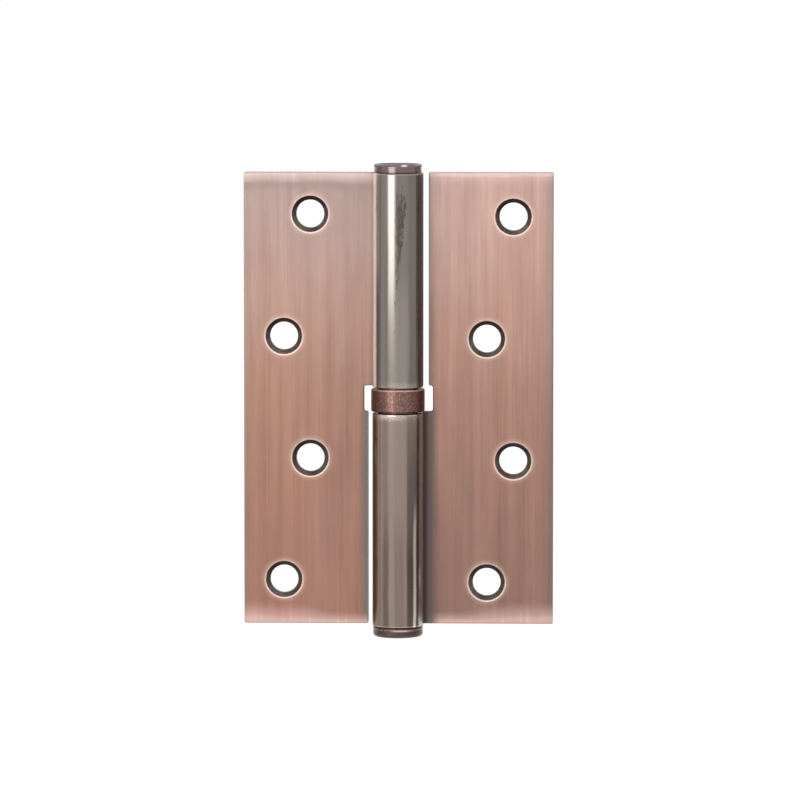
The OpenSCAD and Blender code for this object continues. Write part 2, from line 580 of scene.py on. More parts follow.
@dataclass(frozen=True)
class LeafFinish:
    """Antique copper on a leaf, brushed along its height, with a polished knuckle.

    Attributes:
        name: the material's name.
        tones: copper colours from the hinge's foot to its head, lighter upwards: partly the
        plating's own tone, partly painted light from above.
        grey: share of greyish clouds in the copper, which grow towards the head as painted sheen.
        root_shade: colour of the painted shade on the leaf beside its knuckle, and its share.
        crease_shadow: share of the painted shadow line where the leaf meets its knuckle.
        free_edge: width of the strip of painted shade at the leaf's free edge, and how much of
        its hue and light the copper keeps there.
        outer_edge_shade: how much of both it keeps in the painted shade at the outer edge.
        top_rubbing_and_sheen: shares of the broad and the narrow bright band at its upper end,
        partly rubbed bright and partly painted reflection.
        foot_rubbing_and_sheen: shares of both at its lower end.
        under: share of the dull streak under them.
        knuckle: colour of the polished knuckle.
        bands: bands of painted reflection, highlight and shade round the knuckle.
        dark_specks: share of dark specks on the knuckle's front.
        worn_and_sheen: share of bare metal and painted highlight at the knuckle's inner end.
        upward: 1 where the sheet's second coordinate rises with the hinge's height, else -1.
        grain: strength of the brush marks, the broad streaks and the patches.
        line: strength of the single light and dark lines.
        brushed: how matt the leaf is.
        polished: how matt the knuckle is.
        mark: colours of the smaller marks.
        metal: the shader's constants.
    """

    name: str
    tones: tuple[Colour, ...]
    grey: float
    root_shade: tuple[Colour, float]
    crease_shadow: float
    free_edge: tuple[float, float, float]
    outer_edge_shade: tuple[float, float]
    top_rubbing_and_sheen: tuple[float, float]
    under: float
    knuckle: Colour
    bands: tuple[PaintedBand, ...]
    dark_specks: float
    worn_and_sheen: float
    upward: float
    foot_rubbing_and_sheen: tuple[float, float] = (0.56, 0.15)
    grain: tuple[float, float, float] = (0.26, 0.42, 0.3)
    line: float = 0.06
    brushed: float = 0.42
    polished: float = 0.16
    mark: MarkTones = MarkTones()
    metal: Metal = Metal(anisotropic=0.6)

    @property
    def seed(self) -> float:
        """A number that keeps one leaf's streaks from repeating on the other."""
        return 2.6 + 1.9 * self.upward

    def material(self, blank: "Blank") -> bpy.types.Material:
        """Makes the leaf's material.

        Args:
            blank: the leaf's sizes, from which the marks round its edges and holes are placed.

        Returns:
            The material.
        """
        made = bpy.data.materials.new(self.name)
        tree = Tree(made)
        z = tree.place()[3]
        _, along, across, through = tree.sheet()
        depth = through + (5.3 + 4.1 * self.upward)
        fine = tree.noise(tree.vector(along * 2.2, across * 0.03, depth), detail=3.0)
        at = OnLeaf(tree, blank, along, across, through, z, fine)
        copper, oxide = self.round_holes(at, self.beside_knuckle(at, self.copper(at)))
        barrel, extra = self.barrel(at)
        rolled = at.along.rise(5.2, 2.5)
        rough = self.brushed + (fine - 0.5) * 0.12 - oxide * 0.1
        rough = rough + rolled * (extra + self.polished - rough)
        self.metal.dress(tree, tree.mix(rolled, copper, barrel), rough,
                         tree.bump(fine * (1.0 - rolled * 0.5), 0.01))
        return made

    def copper(self, at: OnLeaf) -> Socket:
        """The flat leaf's colour: streaks and clouds, lighter and greyer towards the head with
        painted light from above, then rubbed brightness and painted light and shade along its
        edges.

        Args:
            at: the coordinates.

        Returns:
            The colour.
        """
        tree, along, z = at.tree, at.along, at.z
        broad, patch, cloud, lines = (
            at.noise(*grains, self.seed, detail)
            for *grains, detail in ((0.4, 0.013, 3.0), (0.3, 0.07, 4.0), (0.06, 0.03, 1.0),
                                    (1.3, 0.011, 1.0)))
        last = len(self.tones) - 1
        spots = [(0.02 + 0.96 * i / last, tone) for i, tone in enumerate(self.tones)]
        # lighter towards the head: partly the plating's tone, partly painted light from above
        copper = tree.ramp(z / at.blank.height + 0.5 + (broad - 0.5) * 0.16, spots)
        shade: Number = 1.0
        for strength, noise in zip(self.grain, (at.fine, broad, patch)):
            shade = shade + (noise - 0.5) * strength
        shade = shade + lines.rise(0.6, 0.72) * self.line - lines.rise(0.4, 0.28) * self.line
        beside_ring = along.rise(17.0, 12.0) * abs(z + 4.0).rise(26.0, 9.0)
        copper = tree.scaled(copper, shade + beside_ring * 0.06 * self.upward)
        copper = tree.mix(patch.rise(0.35, 0.65) * 0.5, copper, self.mark.warm, "MULTIPLY")
        # greyer towards the head: painted sheen of light from above, over random clouds
        dull = cloud * 1.2 + z.rise(10.0, 60.0) * 0.5 + (patch - 0.5) * 0.4
        dull = dull - along.rise(20.0, 34.0) * z.rise(14.0, -8.0) * 0.5
        dull = (dull - along.rise(24.0, 14.0) * z.rise(-20.0, -44.0) * 0.4).rise(0.2, 1.3)
        copper = self.faded(tree, dull * self.grey, copper, 0.5, 0.96)
        return self.ends(at, patch, lines, self.edge_shade_and_highlight(at, copper))

    def edge_shade_and_highlight(self, at: OnLeaf, copper: Socket) -> Socket:
        """Adds the painted shade along the leaf's outer and its free edge, and a painted highlight
        line on the free edge.

        Args:
            at: the coordinates.
            copper: the colour elsewhere.

        Returns:
            The colour.
        """
        # painted shade along the outer edge
        copper = self.faded(at.tree, (at.blank.reach - at.along).rise(2.8, 0.1), copper,
                            *self.outer_edge_shade)
        # painted shade along the free edge
        free = at.along - at.blank.free_edge
        free = free + at.across.rise(3.6, 3.2) * 9.0 + at.along.rise(6.0, 5.0) * 9.0
        width, saturation, value = self.free_edge
        copper = self.faded(at.tree, free.rise(width, 0.2), copper, saturation, value)
        # painted highlight line on the free edge
        return at.tree.mix(free.rise(0.45, 0.2) * 0.4, copper, self.mark.corner)

    def ends(self, at: OnLeaf, patch: Value, lines: Value, copper: Socket) -> Socket:
        """Adds the bright bands at the leaf's foot and head, partly rubbed bright and partly
        painted reflection of the rounded ends, and the lines on its edges.

        Args:
            at: the coordinates.
            patch: noise of the patches.
            lines: noise of the single lines.
            copper: the colour elsewhere.

        Returns:
            The colour.
        """
        tree, along = at.tree, at.along
        edge = at.blank.height / 2 - abs(at.across)
        sway = tree.noise(tree.vector(along * 0.1, at.z * 0.01, self.seed), detail=1.0)
        head = at.z.rise(-10.0, 10.0)
        wide = head * 0.6 + (1.0 - head) * along.rise(26.0, 16.0) * 0.7 + 1.0
        reach = edge * wide + (sway - 0.5) * 2.0
        under = reach.rise(3.2, 4.6) * reach.rise(9.5, 5.2) * (patch.rise(0.3, 0.7) * 0.6 + 0.4)
        copper = tree.mix(under * head * self.under, copper, self.mark.streak)
        # bright bands: partly rubbed bright, partly painted reflection of the rounded ends
        band: Number = 0.0
        for limits, top, foot in zip(((6.0, 0.2), (2.3, 1.0)), self.top_rubbing_and_sheen, self.foot_rubbing_and_sheen):
            band = reach.rise(*limits) * (head * (top - foot) + foot) + band
        tone = tree.mix(head, *self.mark.band)
        copper = tree.mix(band * (0.9 + lines.rise(0.5, 0.75) * 0.2), copper, tone)
        return tree.mix(edge.rise(0.34, 0.1) * (0.75 - head * 0.65), copper, self.mark.end)

    def beside_knuckle(self, at: OnLeaf, copper: Socket) -> Socket:
        """Adds the painted shade beside the leaf's own knuckle and the painted shadow line where
        they meet.

        Args:
            at: the coordinates.
            copper: the colour elsewhere.

        Returns:
            The colour.
        """
        tone, share = self.root_shade
        front = at.through.rise(1.2, 0.3)
        # painted shade on the front of the strip beside the knuckle
        strip = (at.along + (at.fine - 0.5) * 1.5).rise(11.2, 8.4) * at.across.rise(-2.0, -3.6)
        copper = at.tree.mix(strip * front * share, copper, tone)
        # painted shadow line where the leaf meets its knuckle
        return at.tree.mix(at.along.rise(8.2, 6.9) * self.crease_shadow * front, copper, self.mark.crease_shadow)

    def round_holes(self, at: OnLeaf, copper: Socket) -> tuple[Socket, Value]:
        """Adds a painted highlight rim about each countersink, brighter on its lower side, and the
        oxide inside it, with painted shade above and painted light below.

        Args:
            at: the coordinates.
            copper: the colour elsewhere.

        Returns:
            The colour, and the mask of the oxide.
        """
        tree, blank = at.tree, at.blank
        hole, back = at.hole_distance(), blank.hole / 2 + 0.12
        rim = hole - at.through.rise(1.9, 1.5) * (blank.sink / 2 - back) - back
        uneven = at.noise(0.7, 0.7)
        pitch = blank.holes[0][1] - blank.holes[1][1]
        above = tree.math("WRAP", at.across - blank.holes[0][1], pitch / 2, -pitch / 2)
        # the lower side of each hole, which gets the painted light
        low = (above * -self.upward).rise(-3.5, 4.6)
        # painted highlight on the rim
        rim_sheen = abs(rim - 0.16).rise(0.34, 0.08) * (low * 0.5 + uneven * 0.42)
        copper = tree.mix(rim_sheen + rim.rise(1.6, 0.2) * 0.16, copper, self.mark.rim)
        oxide = rim.rise(0.02, -0.12)
        # oxide with painted shade in its upper part and painted light in its lower part
        oxide_shade_and_light = tree.scaled(tree.mix(low, *self.mark.sink), uneven + 0.5)
        return tree.mix(oxide, copper, oxide_shade_and_light), oxide

    def barrel(self, at: OnLeaf) -> tuple[Socket, Value]:
        """The knuckle's colour: polishing lines, bands of painted reflection, highlight and shade,
        dark specks, and bright ends that are partly rubbed bare and partly painted highlight.

        Args:
            at: the coordinates.

        Returns:
            The colour, and how much rougher the specks and the matt bands are.
        """
        tree, along, across, mark = at.tree, at.along, at.across, self.mark
        lines = at.noise(1.7, 0.008)
        wander = (at.noise(0.2, 0.09) - 0.5) * 0.6
        barrel = tree.scaled(self.knuckle, 1.0 + (lines - 0.5) * 0.4 + (at.fine - 0.5) * 0.12)
        extra: Number = 0.0
        # bands of painted reflection, highlight and shade
        for band in self.bands:
            mask = band.mask(at, wander)
            barrel = tree.mix(mask, barrel, band.tone)
            extra = mask * band.matt + extra if band.matt else extra

        specks = at.noise(4.0, 0.7, 7.3, detail=5.0, roughness=0.72)
        trail = abs(along + 16.2 + (across + 50.0) * 0.04 + wander * 2.0)
        trail = (across.rise(-24.0, -56.0) + 0.55 - trail).rise(0.0, 0.9)
        place = trail * across.rise(-4.0, -44.0) * across.rise(-60.0, -49.0)
        marks = (specks + place * 0.18).rise(0.565, 0.68) * place.rise(0.0, 0.3) * self.dark_specks
        barrel = tree.mix(marks, barrel, mark.specks)

        # bright ends: partly rubbed bare, partly painted highlight, strongest on the lit part of
        # the front
        worn_and_sheen = at.noise(1.6, 2.0, detail=3.0, roughness=0.65)
        inner = (worn_and_sheen * 3.4 - 1.2 - at.blank.notch_half - across).rise(2.7, 0.4) * self.worn_and_sheen
        inner = inner * (abs(along + 15.2).rise(4.6, 1.0) * 0.6 + 0.4)
        outer = (at.blank.height / 2 + across).rise(0.5, 0.25) * 0.2
        barrel = tree.mix(inner.most(outer), barrel, mark.bare_metal_and_sheen)
        cut = (-at.blank.notch_half - across).rise(0.06, 0.02)
        return tree.mix(cut * 0.85, barrel, mark.cut), marks * 0.2 + extra

    @staticmethod
    def faded(tree: Tree, share: Value, colour: Socket, saturation: float, value: float) -> Socket:
        """A colour that keeps, at a share, only so much of its hue and light."""
        dull = tree.node("ShaderNodeHueSaturation", inputs={
            "Saturation": saturation, "Value": value, "Color": colour}).outputs[0]
        return tree.mix(share, colour, dull)


@dataclass(frozen=True)
class TurnedFinish:
    """A turned metal piece, with marks of turning round it, a mottled oxide and, where given,
    painted highlights.

    Attributes:
        name: the material's name.
        base: the metal's colour.
        worn_and_sheen: colour where the oxide is rubbed thin, also of painted highlights.
        mottle: share of the colour where the oxide is rubbed thin.
        grain: size of the mottling in millimetres.
        rough: how matt the metal is.
        ring_marks: strength of the turning marks.
        edge: height of a bright edge, partly rubbed bare and partly painted highlight, and half
        its width.
        seam: heights between which the oxide darkens towards a seam.
        front_highlight: place along X of a painted highlight on the front, laid on as lighter
        mottling, and half its width.
        glint: place along X, height, half width and share of a painted glint on the front's edge.
        lacquer: weight of the clear layer.
        seam_tone: colour of the seam.
        glint_tone: colour of the painted glint.
        metal: the shader's constants.
    """

    name: str
    base: Colour
    worn_and_sheen: Colour
    mottle: float = 0.3
    grain: float = 0.6
    rough: float = 0.25
    ring_marks: float = 0.1
    edge: tuple[float, float] | None = None
    seam: tuple[float, float] | None = None
    front_highlight: tuple[float, float] | None = None
    glint: tuple[float, float, float, float] | None = None
    lacquer: float = 0.0
    seam_tone: Colour = srgb(66, 34, 31)
    glint_tone: Colour = srgb(242, 230, 226)
    metal: Metal = Metal()

    def material(self) -> bpy.types.Material:
        """Makes the finish's material.

        Returns:
            The material.
        """
        made = bpy.data.materials.new(self.name)
        tree = Tree(made)
        vector, x, y, z = tree.place()
        blots = tree.noise(vector, scale=1 / self.grain, detail=4.0, roughness=0.62)
        lathe = tree.noise(tree.vector(0.0, 0.0, z * 9.0), detail=2.0)
        share = blots.rise(0.5, 0.68) * self.mottle
        front = y.rise(0.0, -3.0)
        # painted highlight on the front
        if self.front_highlight:
            place, half = self.front_highlight
            patch = abs(x - place).rise(half, half * 0.3) * front
            share = share.most(patch * (blots.rise(0.42, 0.66) * 0.28 + 0.03))
        # bright edge: partly rubbed bare, partly painted highlight
        if self.edge:
            level, half = self.edge
            rubbed = abs(z - level).rise(half, half * 0.5)
            share = share.most(rubbed * blots.rise(0.3, 0.5) * 0.9)
        colour = tree.mix(share, self.base, self.worn_and_sheen)
        if self.seam:
            colour = tree.mix(z.rise(*self.seam) * 0.8, colour, self.seam_tone)
        # painted glint on the front's edge
        if self.glint:
            place, level, half, weight = self.glint
            spot = abs(x - place).rise(half, half * 0.2) * abs(z - level).rise(0.34, 0.1)
            colour = tree.mix(spot * front * weight, colour, self.glint_tone)
        colour = tree.scaled(colour, 1.0 + (lathe - 0.5) * self.ring_marks)
        rough = self.rough + (blots - 0.5) * 0.2 + (lathe - 0.5) * self.ring_marks * 0.5
        self.metal.dress(tree, colour, rough, tree.bump(blots * 0.6 + lathe * 0.4, 0.012),
                         self.lacquer)
        return made


# Pieces


class Body(enum.Enum):
    """The bodies that move as one."""

    FRAME_SIDE = "frame_side"
    TURNING_RACE = "turning_race"
    DOOR_SIDE = "door_side"
    CAGE = "cage"


def place_piece(piece: bpy.types.Object, node: str, body: Body,
                material: bpy.types.Material) -> None:
    """Lets a new piece stand for a solid.

    Args:
        piece: the new object.
        node: name of the solid it stands for.
        body: the body it rides on.
        material: its material.
    """
    piece.data.materials.append(material)
    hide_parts(node)
    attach(piece, body.value)
    corners = np.array([corner[:] for corner in piece.bound_box])
    off = np.abs(np.stack([corners.min(0), corners.max(0)]) - np.array(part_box(node))).max() / MM
    LOG.info("%s: %d faces, within %.3f mm of its solid", piece.name,
             len(piece.data.polygons), off)


def layered(rows: np.ndarray, levels: np.ndarray) -> np.ndarray:
    """Gives every point of each row of a flat grid its row's level as a third coordinate."""
    heights = np.broadcast_to(levels[:, None, None], rows.shape[:2] + (1,))
    return np.concatenate([rows, heights], axis=-1)


@dataclass(frozen=True)
class Blank:
    """The flag-shaped sheet that a leaf is pressed and rolled from, in millimetres.

    Sheet coordinates run along it from the roll's start (negative inside the roll), across it
    along the pin, and through it from its front face.

    Attributes:
        height: its size along the pin.
        reach: from the pin's axis to the outer edge.
        thickness: the sheet's thickness.
        bore: inner radius of the roll.
        free_edge: from the pin's axis to the edge of the half without a knuckle.
        notch_edge: from the pin's axis to the far side of the thrust ring's notch.
        notch_half: half the notch's height.
        notch_round: radius of the notch's corners.
        roll_degrees: the roll's turn.
        hole: diameter of a screw hole.
        sink: diameter of its countersink.
        sink_depth: depth of the countersink.
        holes: the holes' places along and across.
        edge_round: radius of the sheet's edges.
        inset: width of the faces' strip that belongs to the rim.
        hole_half: half the side of the square that belongs to a hole.
        hole_steps: cells along the side of that square.
        roll_steps: grid lines along the roll.
        cell: longest cell across the sheet elsewhere.
    """

    height: float = 120.0
    reach: float = 41.0
    thickness: float = 2.75
    bore: float = 4.0
    free_edge: float = 7.99
    notch_edge: float = 9.11
    notch_half: float = 3.45
    notch_round: float = 0.6
    roll_degrees: float = 303.75
    hole: float = 7.4
    sink: float = 9.7
    sink_depth: float = 1.37
    holes: tuple[tuple[float, float], ...] = (
        (30.4, 48.25), (23.4, 15.85), (30.4, -16.55), (23.4, -48.95))
    edge_round: float = 0.25
    inset: float = 0.4
    hole_half: float = 7.0
    hole_steps: int = 16
    roll_steps: int = 96
    cell: float = 1.6

    @property
    def mid_radius(self) -> float:
        """Radius of the sheet's middle in the roll."""
        return self.bore + self.thickness / 2

    @property
    def roll_length(self) -> float:
        """Length of the sheet's middle in the roll."""
        return math.radians(self.roll_degrees) * self.mid_radius

    def bent(self, sheet: np.ndarray) -> np.ndarray:
        """Bends sheet coordinates into place.

        A point (s, h, t) with s >= 0 goes to (s, bore + t, h). With s < 0 it goes round the pin to
        the radius bore + t at the angle a = 90 degrees - s / mid radius, so to
        ((bore + t) cos a, (bore + t) sin a, h).

        Args:
            sheet: (..., 3) sheet coordinates.

        Returns:
            (..., 3) places.
        """
        along, across, through = np.moveaxis(sheet, -1, 0)
        radius = self.bore + through
        angle = math.pi / 2 - np.minimum(along, 0) / self.mid_radius
        return np.stack([radius * np.cos(angle) + np.maximum(along, 0),
                         radius * np.sin(angle), across], axis=-1)

    def lines(self) -> tuple[np.ndarray, np.ndarray]:
        """Grid lines of the faces, through every corner of the inset outline and the squares.

        Returns:
            The lines' places along the sheet, and those across it.
        """
        inset, half = self.inset, self.hole_half
        step = 2 * half / self.hole_steps
        fillet = (self.inset + self.notch_round) * np.linspace(0, 1, 5)
        near, far = min(h[0] for h in self.holes), max(h[0] for h in self.holes)
        along = [
            np.linspace(inset - self.roll_length, 0, self.roll_steps),
            np.linspace(0, self.free_edge + inset, 8),
            self.notch_edge + inset - fillet,
            np.linspace(self.notch_edge + inset, near - half, 8),
            np.arange(near - half, far + half + step / 2, step),
            np.linspace(far + half, self.reach - inset, 4),
        ]
        ends = [-self.height / 2 + inset, self.height / 2 - inset]
        notch = self.notch_half + inset
        across = [np.linspace(-notch, notch, 9), notch - fillet, fillet - notch, np.array(ends)]
        marks = sorted(
            [h + side * half for _, h in self.holes for side in (-1, 1)] + ends + [-notch, notch])
        for low, high in zip(marks[:-1], marks[1:]):
            block = any(abs((low + high) / 2 - h) < 1e-6 for _, h in self.holes)
            count = self.hole_steps if block else max(2, round((high - low) / self.cell))
            across.append(np.linspace(low, high, count + 1))
        return tuple(np.unique(np.round(np.concatenate(l), 6)) for l in (along, across))

    def face(self, through: float) -> Surface:
        """The front or back face without its rim and its holes' surrounds.

        It is the grid of all lines less the cells outside the inset outline and those within a
        square about each hole.

        Args:
            through: depth of the face from the front.

        Returns:
            The face in sheet coordinates, wound to look towards -through.
        """
        along, across = self.lines()
        grid = np.stack(np.broadcast_arrays(along[None, :], across[:, None], through), axis=-1)
        made = Surface.grid(grid, grid)
        middle = made.points[made.quads].mean(axis=1)
        s, h = middle[:, 0], middle[:, 1]
        notch, far = self.notch_half + self.inset, self.notch_edge + self.inset
        inside = (h < -notch) | ((h > notch) & (s > self.free_edge)) | (s > far)
        holes = np.array(self.holes)
        apart = np.abs(middle[:, None, :2] - holes[None]).max(axis=-1).min(axis=-1)
        made.quads = made.quads[inside & (apart > self.hole_half)]
        return made

    def rim(self) -> Surface:
        """The outer edge: an edge profile carried along the outline.

        The outline is the inset path moved out by the inset, with a quarter circle of that radius
        round each convex corner and a fillet in each corner of the notch. The profile starts on
        the inset path at the front, rounds the front edge, runs through the sheet and rounds the
        back edge.

        Returns:
            The rim in sheet coordinates.
        """
        inner, outer, inward = self.outline()
        radius, depth = self.edge_round, self.thickness
        turn = np.linspace(0, math.pi / 2, 5)
        back = turn[::-1]
        offset = np.concatenate([radius * (1 - np.sin(turn)), radius * (1 - np.sin(back))])
        level = np.concatenate([radius * (1 - np.cos(turn)), depth - radius * (1 - np.cos(back))])
        walls = outer[None] + offset[:, None, None] * inward[None]
        rows = np.concatenate([inner[None], walls, inner[None]])
        grid = layered(rows, np.concatenate([[0.0], level, [depth]]))
        return Surface.grid(grid, grid, wrap=True).turned_over()

    def outline(self) -> tuple[np.ndarray, np.ndarray, np.ndarray]:
        """The outline as a closed path, anticlockwise seen from the front.

        Returns:
            (n, 2) points of the inset path, the matching points of the outline, and the inward
            directions there.
        """
        along, across = self.lines()
        gap, top = self.inset, self.height / 2 - self.inset
        left, right = gap - self.roll_length, self.reach - gap
        free, notch, level = self.free_edge + gap, self.notch_edge + gap, self.notch_half + gap
        corners = np.array([(left, -top), (right, -top), (right, top), (free, top), (free, level),
                            (notch, level), (notch, -level), (left, -level)])
        ways = unit(np.roll(corners, -1, axis=0) - corners)
        outs = np.stack([ways[:, 1], -ways[:, 0]], axis=1)
        reach = gap + self.notch_round
        inner, outer, inward = [], [], []
        for k, (start, way, out) in enumerate(zip(corners, ways, outs)):
            stop = corners[(k + 1) % len(corners)]
            axis = 0 if abs(way[0]) > 0.5 else 1
            lines, order = (along, across)[axis], 1 if way[axis] > 0 else -1
            low, high = sorted((start[axis], stop[axis]))
            spots = lines[(lines > low - 1e-5) & (lines < high + 1e-5)][::order]
            path = np.repeat(start[None], len(spots), axis=0)
            path[:, axis] = spots
            edge, inwards = path + gap * out, np.repeat(-out[None], len(spots), axis=0)
            for corner, other in ((start, outs[k - 1]), (stop, outs[(k + 1) % len(corners)])):
                turn = out[0] * other[1] - out[1] * other[0]
                concave = turn < 0 if corner is stop else turn > 0
                if concave:
                    edge, inwards = self.filleted(path, edge, inwards, corner, out, other, reach)
            inner.append(path)
            outer.append(edge)
            inward.append(inwards)
            following = outs[(k + 1) % len(corners)]
            if out[0] * following[1] - out[1] * following[0] > 0:
                share = np.linspace(0, math.pi / 2, 7)[1:-1, None]
                fan = np.cos(share) * out + np.sin(share) * following
                inner.append(np.repeat(stop[None], len(fan), axis=0))
                outer.append(stop + gap * fan)
                inward.append(-fan)
        return np.concatenate(inner), np.concatenate(outer), np.concatenate(inward)

    def filleted(self, path: np.ndarray, edge: np.ndarray, inwards: np.ndarray, corner: np.ndarray,
                 out: np.ndarray, other: np.ndarray, reach: float) -> tuple[np.ndarray, np.ndarray]:
        """Moves the outline's points near a notch corner onto its fillet.

        A point of the inset path at the distance w from its corner goes to the angle
        45 degrees * (1 + w / reach) of the fillet, measured from the other side's normal.

        Args:
            path: points of the inset path along one side.
            edge: outline points of that side.
            inwards: inward directions there.
            corner: the inset path's corner.
            out: the side's outward direction.
            other: the other side's outward direction.
            reach: the distance from the corner at which the fillet starts.

        Returns:
            The new outline points and inward directions.
        """
        away = np.linalg.norm(path - corner, axis=1)
        centre = corner + (self.inset + self.notch_round) * (out + other)
        angle = math.radians(45) * (1 + away / reach)[:, None]
        ray = -(np.cos(angle) * other + np.sin(angle) * out)
        near = (away < reach + 1e-6)[:, None]
        return np.where(near, centre + self.notch_round * ray, edge), np.where(near, ray, inwards)

    def hole_surround(self, centre: tuple[float, float]) -> Surface:
        """A countersunk hole with the square of both faces about it.

        Row by row the square's border turns into a circle, (1 - w) * square + w * circle. The
        circle then shrinks down the countersink and the hole's wall, and grows back into the
        square on the back.

        Args:
            centre: the hole's place along and across the sheet.

        Returns:
            The surface in sheet coordinates.
        """
        count = self.hole_steps
        ramp = np.linspace(-1, 1, count + 1)[:-1]
        ones = np.ones(count)
        square = self.hole_half * np.concatenate([
            np.stack([-ramp, ones], 1), np.stack([-ones, -ramp], 1),
            np.stack([ramp, -ones], 1), np.stack([ones, ramp], 1)])
        angle = math.pi / 4 + np.arange(4 * count) * 2 * math.pi / (4 * count)
        circle = np.stack([np.cos(angle), np.sin(angle)], 1)
        mouth, wall = self.sink / 2, self.hole / 2
        profile = rounded([
            (mouth + 0.4, 0.0, 0.0), (mouth, 0.0, 0.12), (wall, self.sink_depth, 0.1),
            (wall, self.thickness, 0.15), (wall + 0.4, self.thickness, 0.0)], steps=4)
        share = np.linspace(0, 1, 8)[:-1, None, None]
        front = (1 - share) * square + share * circle * profile[0, 0]
        back = ((1 - share) * square + share * circle * profile[-1, 0])[::-1]
        rows = np.concatenate([front, circle * profile[:, :1, None], back])
        level = np.concatenate([
            np.zeros(len(front)), profile[:, 1], np.full(len(back), self.thickness)])
        grid = layered(rows + np.array(centre), level)
        return Surface.grid(grid, grid, wrap=True)

    def rolled(self) -> Surface:
        """The whole leaf, pressed and rolled.

        Returns:
            The closed surface, with its knuckle below.
        """
        parts = [self.face(0.0), self.face(self.thickness).turned_over(), self.rim()]
        parts += [self.hole_surround(hole) for hole in self.holes]
        return Surface.joined(parts).moved(self.bent)


@dataclass(frozen=True)
class Leaves:
    """The two leaves: one pressing, used as it is and turned half a turn about Y.

    Attributes:
        blank: the pressing's sizes.
        pin_finish: finish of the leaf that holds the pin.
        socket_finish: finish of the leaf that turns on it.
    """

    blank: Blank = Blank()
    pin_finish: LeafFinish = LeafFinish(
        "pin_leaf_copper",
        (srgb(141, 110, 99), srgb(147, 114, 103), srgb(160, 123, 109), srgb(178, 142, 129),
         srgb(184, 148, 136)),
        grey=0.3, root_shade=(srgb(106, 95, 93), 0.85), crease_shadow=0.7, free_edge=(1.6, 0.62, 0.8),
        outer_edge_shade=(0.8, 0.74), top_rubbing_and_sheen=(0.3, 0.4), under=0.0,
        knuckle=srgb(146, 130, 120), dark_specks=0.0,
        worn_and_sheen=0.8, upward=1.0,
        # painted reflections, highlights and shade round the lower knuckle
        bands=(PaintedBand(-9.4, 1.9, srgb(54, 66, 65), 0.9, soft=0.5),
               PaintedBand(-12.4, 0.3, srgb(186, 166, 156), 0.5),
               PaintedBand(-14.2, 0.7, srgb(100, 86, 78), 0.35, soft=0.4),
               PaintedBand(-14.4, 0.7, srgb(80, 68, 62), 0.5, (-25.0, -42.0), 0.4),
               PaintedBand(-17.4, 1.0, srgb(116, 100, 92), 0.5, (-25.0, -42.0), 0.4),
               PaintedBand(-21.8, 0.35, srgb(46, 38, 34), 0.6),
               PaintedBand(-19.8, 0.75, srgb(84, 73, 65), 0.6, (-32.0, -46.0), 0.4),
               PaintedBand(-20.95, 0.36, srgb(250, 236, 226), 0.95, (-24.0, -36.0), 0.2),
               PaintedBand(-23.3, 0.9, srgb(184, 190, 192), 0.9, matt=0.06),
               PaintedBand(-25.4, 0.8, srgb(110, 97, 90), 0.7)))
    socket_finish: LeafFinish = LeafFinish(
        "socket_leaf_copper",
        (srgb(157, 117, 103), srgb(155, 117, 104), srgb(158, 120, 104), srgb(171, 133, 117),
         srgb(163, 136, 127)),
        grey=0.5, root_shade=(srgb(150, 130, 122), 0.1), crease_shadow=0.1, free_edge=(2.7, 0.5, 0.55),
        outer_edge_shade=(0.85, 0.93), top_rubbing_and_sheen=(0.5, 0.15), under=0.5,
        knuckle=srgb(128, 122, 115), dark_specks=0.66,
        worn_and_sheen=0.3, upward=-1.0,
        # painted reflections, highlights and shade round the upper knuckle
        bands=(PaintedBand(-10.4, 1.6, srgb(86, 92, 96), 0.65, soft=0.4),
               PaintedBand(-13.2, 1.1, srgb(104, 90, 86), 0.45, soft=0.4),
               PaintedBand(-15.8, 1.6, srgb(160, 148, 140), 0.4, (-38.0, -22.0), 0.4),
               PaintedBand(-18.2, 0.6, srgb(170, 172, 172), 0.2, (-18.0, -34.0), 0.3),
               PaintedBand(-21.6, 0.3, srgb(80, 64, 57), 0.4, (-40.0, -24.0)),
               PaintedBand(-21.6, 0.5, srgb(200, 180, 170), 0.5, (-24.0, -40.0)),
               PaintedBand(-19.25, 0.4, srgb(92, 90, 84), 0.35, (-50.0, -34.0), 0.4),
               PaintedBand(-25.4, 1.3, srgb(216, 211, 213), 1.0),
               PaintedBand(-22.95, 0.85, srgb(255, 244, 240), 1.0, soft=0.45, matt=0.28)))

    def build(self) -> None:
        """Makes both leaves and dresses them."""
        leaf = self.blank.rolled()
        pin_leaf = leaf.to_object("leaf_with_pin")
        place_piece(pin_leaf, "pin_leaf", Body.FRAME_SIDE,
                    self.pin_finish.material(self.blank))
        turned = leaf.moved(lambda points: points * np.array([-1.0, 1.0, -1.0]))
        socket_leaf = turned.to_object("leaf_with_socket")
        place_piece(socket_leaf, "socket_leaf", Body.DOOR_SIDE,
                    self.socket_finish.material(self.blank))


